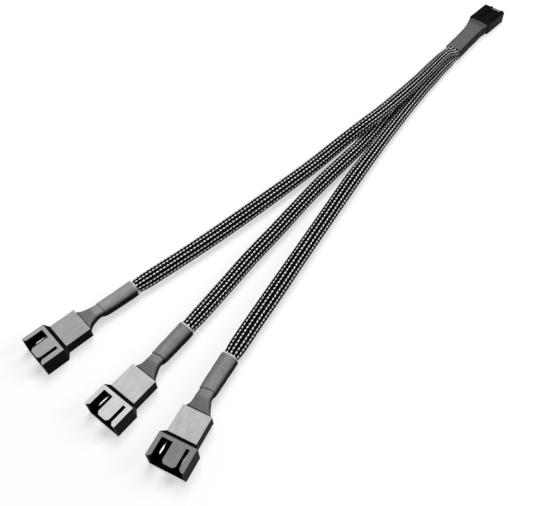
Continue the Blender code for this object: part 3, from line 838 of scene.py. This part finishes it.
def strandPoints(leg, rows, stations, places, rate):
    # Two sets of flat strands wind opposite ways round the route, and each passes over two of the
    # other set and under two. A strand's distance from the centreline follows a cosine of its
    # winding, flattened at its ends, and neighbours are two crossings apart, so passes lie in rows.
    # One set is two crossings behind the other, and so on top where that is below. The arrays'
    # axes are way, strand, station and place across the strand. The second result is each
    # point's UV: the share across the strand and the count of crossings.
    centre, along, sideways, upper, radius = routeFrames(rows, places)
    halfWidth, halfHeight = sleeveSection(leg, places, radius)
    count = braid["strands"]
    half = braid["width"] / 2
    spread = np.array((-half, -0.5 * half, 0.5 * half, half))
    rise = np.array((0.0, braid["thickness"], braid["thickness"], 0.0))
    way = np.array((1.0, -1.0))[:, None, None, None]
    number = np.arange(count)[:, None, None]
    turn = stations[:, None]
    tilt = np.arctan(radius * rate)[:, None]
    crossing = 2 * number + way * count * turn / math.pi - (1.5 - way)
    wave = np.tanh(braid["flatness"] * np.cos(math.pi / 2 * crossing)) / np.tanh(braid["flatness"])
    depth = braid["wave"] * (wave - 1) - braid["thickness"] + rise
    angle = 2 * math.pi * number / count + way * turn + math.radians(leg["rowTurn"])
    angle = angle + spread * np.cos(tilt) / radius[:, None]
    slip = -way * spread * np.sin(tilt)
    points = (
        centre[:, None]
        + ((halfWidth[:, None] + depth) * np.cos(angle))[..., None] * sideways[:, None]
        + ((halfHeight[:, None] + depth) * np.sin(angle))[..., None] * upper[:, None]
        + slip[..., None] * along[:, None]
    )
    side = 0.5 + spread / braid["width"] + 0 * crossing
    crossings = crossing + 0 * spread
    return points.reshape(-1, 3), np.stack([side.ravel(), crossings.ravel()], axis=1)


def strandFaces(total, across=4):
    # Quads round every strand of so many stations, and one quad across each of its two ends
    offsets = (np.arange(2 * braid["strands"]) * total * across)[:, None, None]
    sides = (gridFaces(total, across)[None] + offsets).reshape(-1, 4)
    ends = np.array(((3, 2, 1, 0), (0, 1, 2, 3))) + np.array(((0,), ((total - 1) * across,)))
    return np.concatenate([sides, (ends[None] + offsets).reshape(-1, 4)])


def linerPoints(leg, rows, first, last):
    # A plain tube inside the strands: the sleeve's section less the liner's depth all round
    places = np.linspace(first, last, braid["linerRings"])
    ring = (np.arange(braid["linerSides"]) * 2 * math.pi / braid["linerSides"])[None, :, None]
    centre, _, sideways, upper, radius = routeFrames(rows, places)
    halfWidth, halfHeight = sleeveSection(leg, places, radius)
    points = (
        centre[:, None]
        + (halfWidth - braid["liner"])[:, None, None] * np.cos(ring) * sideways[:, None]
        + (halfHeight - braid["liner"])[:, None, None] * np.sin(ring) * upper[:, None]
    )
    return points.reshape(-1, 3)


def braidedSleeve(name, leg, rows):
    # The strands and the liner in one mesh, with a material each; only the strands have a UV map
    # that isn't zero.
    stations, places, rate = sleeveStations(leg, rows)
    points, strandUv = strandPoints(leg, rows, stations, places, rate)
    liner = linerPoints(leg, rows, places[0], places[-1])
    linerFaces = gridFaces(braid["linerRings"], braid["linerSides"]) + len(points)
    faces = np.concatenate([strandFaces(len(stations)), linerFaces])
    pointUv = np.concatenate([strandUv, np.zeros((len(liner), 2))])
    mesh = makeMesh(name, np.concatenate([points, liner]), faces, pointUv[faces.ravel()])
    slots = np.zeros(len(faces), np.int32)
    slots[-len(linerFaces):] = 1
    piece = addPiece(name, mesh, [braidMaterial, linerMaterial])
    mesh.polygons.foreach_set("material_index", slots)
    return piece


# Heat-shrink

shrink = {
    # The wall, the points round and along the shell and round its rim, how far the rim bulges and
    # how much of the relief the inside takes, and how soon a flat side reaches its corner
    "wall": 0.00035,
    "around": 72,
    "along": 110,
    "rim": 5,
    "rimBulge": 0.6,
    "insideLift": 0.5,
    "cornerRate": 2.2,
    # Marks: how far the painted highlight on the cut rim reaches from the end, where the flare's
    # painted shade lies, over the wires under the taut tube, and how high on the section the painted
    # light on the top begins and over what height it grows
    "cutWidth": 0.00030,
    "cutStrength": 1.4,
    "tautTo": 0.0025,
    "tautFade": 0.0040,
    "aboveFrom": 0.32,
    "aboveFade": 0.5,
}


def outline(turn, width, height, corner):
    # A rounded rectangle by the angle turn: each half slides between its corners on a sine that
    # stops at them, and the corner's circle is added, so there is no edge along the shell.
    def slide(value):
        return np.sin(np.pi / 2 * np.clip(shrink["cornerRate"] * value, -1.0, 1.0))
    aside = (width / 2 - corner) * slide(np.cos(turn)) + corner * np.cos(turn)
    rise = (height / 2 - corner) * slide(np.sin(turn)) + corner * np.sin(turn)
    return aside, rise


def wallProfile(count):
    # The wall's closed profile: out along the skin, round the rim on a half circle, back along the
    # inside and round the other rim. Gives the station of each point, its depth and its bulge.
    rim = np.linspace(0.0, math.pi, shrink["rim"] + 2)[1:-1]
    depth = shrink["wall"] / 2 * (1 - np.cos(rim))
    bulge = shrink["wall"] / 2 * np.sin(rim) * shrink["rimBulge"]
    skin, inside = np.arange(count), np.arange(count)[::-1]
    stations = np.concatenate([skin, np.full(len(rim), count - 1), inside, np.zeros(len(rim), int)])
    inset = np.concatenate([np.zeros(count), depth, np.full(count, shrink["wall"]), depth[::-1]])
    push = np.concatenate([np.zeros(count), bulge, np.zeros(count), -bulge])
    return stations, inset, push


def shrinkShell(name, frames, sections, ripple, material, back):
    # The wall's profile is carried round the outline of the section, smaller by its depth. The
    # ripple lifts the skin along its radius, and the inside by a share of that.
    stations, inset, push = wallProfile(len(back))
    turn = (np.arange(shrink["around"]) + 0.5) * 2 * math.pi / shrink["around"]
    centre, along, sideways, upper = (part[stations] for part in frames)
    width, height, corner = (sections[stations, column][:, None] for column in range(3))
    trim = inset[:, None]
    aside, rise = outline(turn[None, :], width - 2 * trim, height - 2 * trim, corner - trim)
    share = np.where(trim > 0.0, shrink["insideLift"], 1.0)
    lift = ripple(back[stations][:, None], turn[None, :], aside / width) * share
    grown = 1 + lift / np.sqrt(aside**2 + rise**2)
    points = (
        centre[:, None]
        + (aside * grown)[..., None] * sideways[:, None]
        + (rise * grown)[..., None] * upper[:, None]
        + (push[:, None] * np.ones_like(aside))[..., None] * along[:, None]
    )
    faces = gridFaces(len(stations), shrink["around"], closedRows=True)
    mesh = makeMesh(name, points.reshape(-1, 3), faces)
    # Marks for the finish: the painted highlight on the cut rim, the flare's painted shade and the
    # painted light on the top
    fromEnd = (back[-1] - back)[stations]
    cut = np.clip(shrink["cutStrength"] - fromEnd / shrink["cutWidth"], 0.0, 1.0)
    tautShade = 1 - ease((back[stations] - shrink["tautTo"]) / shrink["tautFade"])
    paintedTop = ease((np.sin(turn) - shrink["aboveFrom"]) / shrink["aboveFade"])
    markMesh(mesh, "cutRimHighlight", "POINT", np.repeat(cut, shrink["around"]))
    markMesh(mesh, "tautShade", "POINT", np.repeat(tautShade, shrink["around"]))
    markMesh(mesh, "paintedTop", "POINT", np.tile(paintedTop, len(stations)))
    return addPiece(name, mesh, [material])


# The relief of a leg's shrink, by the distance behind the housing. Ridges lie over the wires, by
# shares of the tube's width, and fade. A crease goes round the waist, a little askew, with a lip
# past it. The tube grips the sleeve at a band further on, and is nowhere quite smooth.
legRelief = {
    "ridge": 0.00016,
    "ridgeMean": 0.1,
    "ridgePitch": 0.235,
    "ridgeWidth": 0.055,
    "ridgeTo": 0.0015,
    "ridgeFade": 0.0050,
    "waist": 0.0062,
    "waistAskew": 0.0006,
    "waistSway": 0.0003,
    "waistWidth": 0.00032,
    "lip": 0.6,
    "lipPast": 0.0006,
    "lipWidth": 0.00030,
    "grip": 0.0135,
    "gripSway": 0.0004,
    "gripWidth": 0.0009,
    "gripDepth": 0.00004,
    "slack": 0.00003,
    "slackTwist": 900,
    "slackRun": 420,
}


def legShrink(letter, leg, rows):
    # The shell follows the leg's route, and is turned square to the housing at its flare.
    back = np.linspace(0.0, legShrinkSections[-1, 0], shrink["along"])
    read = smoothRead(legShrinkSections, back)
    centre, along, sideways, _, _ = routeFrames(rows, legShrinkX(leg, back))
    squared = np.array((math.sin(leg["turn"]), -math.cos(leg["turn"]), 0.0))
    share = ease(back / legShrinkSections[flareRow, 0])[:, None]
    sideways = squared * (1 - share) + sideways * share
    sideways /= np.linalg.norm(sideways, axis=1)[:, None]
    level = np.tile((0.0, 0.0, 1.0), (len(back), 1))
    centre[:, 2] = read[:, 3] + leg["swell"] / 2
    # The corner swells by half as much as the width and the height.
    sections = read[:, :3] + leg["swell"] * np.array((1.0, 1.0, 0.5))
    # The wires' places from the middle of the four
    spots = np.array(leg["wires"]) - 2.5

    def ripple(behind, turn, aside):
        # Ridges less their mean, less the crease and the grip, plus the slack
        relief = legRelief
        fade = 1 - ease((behind - relief["ridgeTo"]) / relief["ridgeFade"])
        ridges = sum(bell(aside - spot * relief["ridgePitch"], relief["ridgeWidth"]) for spot in spots)
        ridges = ridges - relief["ridgeMean"] * len(spots)
        fold = behind - relief["waist"] - relief["waistAskew"] * np.sin(turn)
        fold = fold - relief["waistSway"] * np.sin(2 * turn + 1)
        lip = relief["lip"] * bell(fold - relief["lipPast"], relief["lipWidth"])
        sway = relief["gripSway"] * np.cos(2 * turn)
        grip = bell(behind - relief["grip"] - sway, relief["gripWidth"])
        slack = np.sin(3 * turn + relief["slackTwist"] * behind) * np.sin(relief["slackRun"] * behind)
        return (
            relief["ridge"] * ridges * fade
            - leg["crease"] * (bell(fold, relief["waistWidth"]) - lip)
            - relief["gripDepth"] * grip
            + relief["slack"] * slack
        )

    # The shrink's top gets the leg's own level of painted light.
    material = makeShrinkFinish(
        "heat_shrink_" + letter, leg["turn"], shrinkFinish["cutRimHighlight"], leg["pale"]["shrink"]
    )
    # The shell's profile starts at the housing, so its direction is turned round.
    frames = (centre, -along, -sideways, level)
    piece = shrinkShell("heat_shrink_leg_" + letter, frames, sections, ripple, material, back)
    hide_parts("leg_shrink_" + letter)
    return piece


# The plug's shrink: how it turns from the housing to the bundle, its relief and its finish
plugShrinkForm = {
    "turnRun": 0.0100,
    "underside": 0.00005,
    "wires": 0.00004,
    "wireWaves": 1.9,
    "wiresTo": 0.0010,
    "wiresFade": 0.0050,
    "bundle": 0.00010,
    "bundleFrom": 0.0080,
    "bundleGrow": 0.0060,
    "bundleWidth": 0.42,
    "folds": 0.00003,
    "foldTwist": 260,
    "foldRun": 330,
    # The grey of the painted highlight on the cut rim, and the level of the painted light on the top
    "cutRimHighlight": 0.22,
    "paleness": 0.45,
}


def plugShrink():
    # The shell starts square to the plug, and eases over to the bundle, which runs along X.
    form = plugShrinkForm
    back = np.linspace(0.0, plug["shrink"], shrink["along"])
    read = smoothRead(plugShrinkSections, back)
    start = plug["length"] + socket["gap"]
    rear = plugPoint(start)
    share = ease(back / form["turnRun"])
    places = plugPoint(start + back)[0]
    aside = rear[1] + (plug["bundleY"] - rear[1]) * share
    turn = plug["turn"] * (1.0 - share)
    centre = np.column_stack([places, aside, form["underside"] + read[:, 1] / 2])
    sideways = np.column_stack([-np.sin(turn), np.cos(turn), np.zeros(len(back))])
    along = np.column_stack([-np.cos(turn), -np.sin(turn), np.zeros(len(back))])
    level = np.tile((0.0, 0.0, 1.0), (len(back), 1))

    def ripple(behind, turn, aside):
        # The wires' row shows near the housing, then the sleeve on top of the bundle, and a few
        # slack folds everywhere.
        fade = 1 - ease((behind - form["wiresTo"]) / form["wiresFade"])
        wires = np.cos(4 * math.pi * aside * form["wireWaves"])
        grown = ease((behind - form["bundleFrom"]) / form["bundleGrow"])
        top = bell(turn - math.pi / 2, form["bundleWidth"])
        folds = np.sin(5 * turn + form["foldTwist"] * behind) * np.sin(form["foldRun"] * behind + turn)
        return (
            form["wires"] * wires * fade
            + form["bundle"] * (top - 0.5) * grown
            + form["folds"] * folds
        )

    material = makeShrinkFinish("heat_shrink_plug", plug["turn"] / 2, form["cutRimHighlight"], form["paleness"])
    frames = (centre, along, sideways, level)
    piece = shrinkShell("heat_shrink_plug_end", frames, read, ripple, material, back)
    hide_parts("plug_shrink")
    return piece


# Housings and pins: copies of the CAD solids, joined up and with moulded edges

moulded = {
    "socketEdge": 0.00016,
    "plugEdge": 0.00016,
    "pinEdge": 0.00012,
    "merge": 1e-6,
    "flat": math.radians(1.0),
    "sharpest": math.radians(28.0),
    # An upper face, which gets the painted sheen, has at least this normal in z, and lies above this
    # height; the shroud is the part of a socket that is nearer to its mating face than this
    "level": 0.9,
    "topFrom": 0.0035,
    "shroud": 0.0085,
}


def wholeFaces(name, node):
    # A copy of a node's mesh whose loose triangles are merged, and joined up where they are flat
    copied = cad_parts[node].data.copy()
    copied.name = name
    copied.materials.clear()
    form = bmesh.new()
    form.from_mesh(copied)
    bmesh.ops.remove_doubles(form, verts=form.verts, dist=moulded["merge"])
    bmesh.ops.dissolve_limit(form, angle_limit=moulded["flat"], verts=form.verts, edges=form.edges)
    form.to_mesh(copied)
    form.free()
    return copied


def paintedSheenMarks(mesh, leg):
    # Where the sheen is painted: 1 on the level outer faces on top and 0 elsewhere; on a leg's
    # socket the 1 is that leg's level of painted sheen, of the shroud or of the body by the distance
    # behind the mating face.
    facing, middle = np.zeros((2, len(mesh.polygons), 3), np.float32)
    mesh.polygons.foreach_get("normal", facing.ravel())
    mesh.polygons.foreach_get("center", middle.ravel())
    upper = (facing[:, 2] > moulded["level"]) & (middle[:, 2] > moulded["topFrom"])
    upper = upper.astype(np.float32)
    if leg:
        ahead = np.array((math.cos(leg["turn"]), math.sin(leg["turn"])))
        behind = (np.array(leg["mouth"]) - middle[:, :2]) @ ahead
        upper *= np.where(behind < moulded["shroud"], leg["pale"]["shroud"], leg["pale"]["body"])
    return upper


def softened(name, node, edge, segments, material, leg=None):
    # A copy of a node with rounded edges, which stands for it; large faces keep flat normals.
    copied = wholeFaces(name, node)
    # The upper faces carry the painted sheen, by this mark.
    markMesh(copied, "upper", "FACE", paintedSheenMarks(copied, leg))
    piece = addPiece(name, copied, [material])
    rounding = piece.modifiers.new("edges", "BEVEL")
    rounding.width = edge
    rounding.segments = segments
    rounding.limit_method = "ANGLE"
    rounding.angle_limit = moulded["sharpest"]
    rounding.use_clamp_overlap = True
    flats = piece.modifiers.new("flats", "WEIGHTED_NORMAL")
    flats.mode = "FACE_AREA_WITH_ANGLE"
    flats.weight = 100
    copied.polygons.foreach_set("use_smooth", np.ones(len(copied.polygons), bool))
    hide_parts(node)
    return piece


def makeSocket(letter, leg):
    # A leg's housing and its pins
    material = makePlastic("moulded_nylon_" + letter, leg["turn"])
    shell, housing = "socket_shell_" + letter, "socket_housing_" + letter
    pieces = [softened(shell, housing, moulded["socketEdge"], 2, material, leg)]
    for number in leg["wires"]:
        name, node = f"contact_pin_{letter}{number}", f"socket_pin_{letter}{number}"
        pieces.append(softened(name, node, moulded["pinEdge"], 3, tinMaterial))
    return pieces


# Cables first, each with what hangs on its end

def makeLeg(letter, leg, pathPoints=36):
    # A sleeve with its shrink and socket; the wires' parts are gathered with them, and the route is
    # read between the mouths of the two shrinks, but nothing uses either.
    rows = legRows(leg)
    sleeve = braidedSleeve("braid_" + letter, leg, rows)
    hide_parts("sleeve_" + letter)
    onIt = [legShrink(letter, leg, rows)] + makeSocket(letter, leg)
    onIt.extend(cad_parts[f"wire_{letter}{number}"] for number in leg["wires"])
    places = np.linspace(shrinkEnd, legShrinkX(leg, legShrinkSections[-1, 0]), pathPoints)
    path = routeFrames(rows, places)[0]


for letter, leg in legs.items():
    makeLeg(letter, leg)


# Plug

plugFinish = {
    # top scales the painted sheen on the upper faces: next to none on the plug
    "top": 0.006,
    "specular": 0.02,
    # A painted highlight strip on top, behind the face and across from its middle; crispness is
    # how fast its sides fade, to a metre
    "highlightStrip": {
        "face": plug["face"],
        "back": 0.0011,
        "across": -0.00127,
        "halfDepth": 0.0005,
        "halfWidth": 0.0022,
        "crispness": 4000.0,
        "level": 0.42,
    },
}


def makePlug():
    plugShrink()
    material = makePlastic("moulded_nylon_plug", plug["turn"], **plugFinish)
    softened("plug_shell", "plug_housing", moulded["plugEdge"], 2, material)
    print("plug made")


makePlug()


# Nodes that stay as they are: the plug's terminals and the wires

for name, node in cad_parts.items():
    if node.hide_render:
        continue
    material = tinMaterial if name.startswith("plug_terminal") else jacketMaterial
    for slot in node.material_slots:
        slot.material = material
    if not node.material_slots:
        node.data.materials.append(material)


# Floor and light

studio = {
    "floorSize": 8.0,
    "floorGrey": 0.9,
    "floorRoughness": 0.9,
    "floorSpecular": 0.1,
    "distance": 1.2,
    "aim": (-0.05, 0.0, 0.0),
    "key": {"heading": 24.0, "rise": 62.0, "size": 0.70, "power": 14.3},
    "side": {"heading": -42.0, "rise": 30.0, "size": 0.50, "power": 6.2},
    "sky": 0.19,
    "whiteness": 0.55,
}


def makeFloor():
    # A plain pale square. What the camera, a gloss or a clear surface sees of it is mixed with
    # white by the whiteness, and the lamps and the object's shadow light the rest.
    half = studio["floorSize"] / 2
    corners = np.array(((-half, -half, 0.0), (half, -half, 0.0), (half, half, 0.0), (-half, half, 0.0)))
    mesh = makeMesh("floor", corners, np.array(((0, 1, 2, 3),)), smooth=False)
    floor = bpy.data.objects.new("floor", mesh)
    bpy.context.scene.collection.objects.link(floor)
    finish = Finish("pale_floor")
    finish.set(Base_Color=grey(studio["floorGrey"]), Roughness=studio["floorRoughness"])
    finish.set(Specular_IOR_Level=studio["floorSpecular"])
    path = finish.node("ShaderNodeLightPath")
    seen = (path["Is Camera Ray"] + path["Is Glossy Ray"] + path["Is Transmission Ray"]).clamped()
    white = finish.node("ShaderNodeEmission", None, {"Color": grey(1.0), "Strength": 1.0})
    lit = finish.node("ShaderNodeMixShader", None, {
        "Fac": seen * studio["whiteness"], 1: Value(finish, finish.shader.outputs[0]), 2: white[0],
    })
    finish.feed(finish.tree.nodes["Material Output"].inputs["Surface"], lit[0])
    mesh.materials.append(finish.material)


def makeLamp(name):
    # A square lamp on a sphere round the aim, and facing it.
    lamp = studio[name]
    heading, rise = math.radians(lamp["heading"]), math.radians(lamp["rise"])
    toward = Vector((
        math.cos(heading) * math.cos(rise), math.sin(heading) * math.cos(rise), math.sin(rise)
    ))
    data = bpy.data.lights.new(name + "_box", "AREA")
    data.shape = "SQUARE"
    data.size = lamp["size"]
    data.energy = lamp["power"]
    made = bpy.data.objects.new(name + "_box", data)
    bpy.context.scene.collection.objects.link(made)
    made.location = toward * studio["distance"] + Vector(studio["aim"])
    made.rotation_euler = (-toward).to_track_quat("-Z", "Y").to_euler()


def makeWorld():
    # An even white sky
    world = bpy.data.worlds.new("studio")
    bpy.context.scene.world = world
    world.use_nodes = True
    background = world.node_tree.nodes["Background"]
    background.inputs["Color"].default_value = grey(1.0)
    background.inputs["Strength"].default_value = studio["sky"]


makeFloor()
makeLamp("key")
makeLamp("side")
makeWorld()
bpy.context.scene.view_settings.view_transform = "Standard"
print("studio made")
